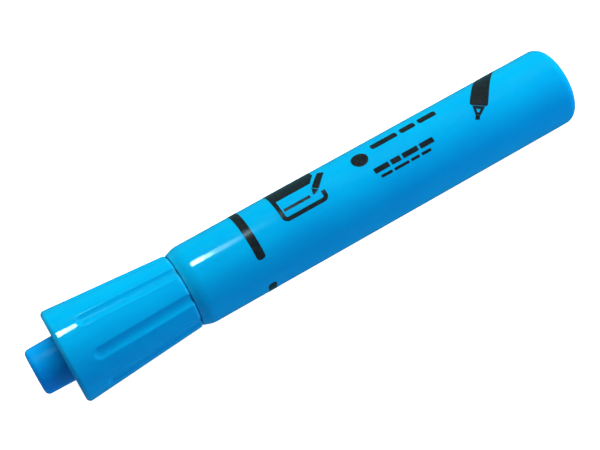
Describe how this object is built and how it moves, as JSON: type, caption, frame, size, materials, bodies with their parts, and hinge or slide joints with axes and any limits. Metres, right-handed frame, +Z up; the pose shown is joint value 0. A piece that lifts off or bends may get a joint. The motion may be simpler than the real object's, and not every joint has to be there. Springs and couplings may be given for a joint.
{
  "type": "capped highlighter",
  "caption": "Round desk highlighter with a chisel felt nib, a fluted flared pull-off cap with a sealing liner, and a fibre ink reservoir in a tubular barrel.",
  "frame": {"origin": "on the surface the pen lies on, under the middle of its length and under its axis", "axes": "+X along the pen's axis from the cap to the rear end, +Z up, +Y across the pen"},
  "size_m": [0.1222, 0.0198, 0.0198],
  "materials": {
    "barrel_plastic": "glossy moulded polypropylene, sky blue",
    "holder_plastic": "satin moulded polypropylene, white",
    "nib_felt": "bonded fibre felt soaked with sky blue ink",
    "reservoir_fibre": "bonded fibre rod soaked with ink",
    "reservoir_film": "clear film sleeve",
    "plug_plastic": "glossy moulded polypropylene, sky blue",
    "cap_plastic": "glossy moulded polypropylene, sky blue",
    "liner_plastic": "glossy moulded polyethylene, sky blue",
    "print_ink": "glossy black pad print"
  },
  "bodies": {
    "pen": {"barrel": "barrel_plastic", "nib_holder": "holder_plastic", "chisel_nib": "nib_felt", "reservoir_core": "reservoir_fibre", "reservoir_wrap": "reservoir_film", "rear_plug": "plug_plastic"},
    "liner": {"inner_cap": "liner_plastic"},
    "cap": {"cap_shell": "cap_plastic"}
  },
  "joints": [
    {"name": "cap_slide", "type": "slide", "parent": "pen", "child": "liner", "axis": [-1, 0, 0], "range_m": [0, 0.04]},
    {"name": "cap_twist", "type": "hinge", "parent": "liner", "child": "cap", "pos_m": [-0.04315, 0, 0.00992], "axis": [1, 0, 0], "continuous": true}
  ]
}
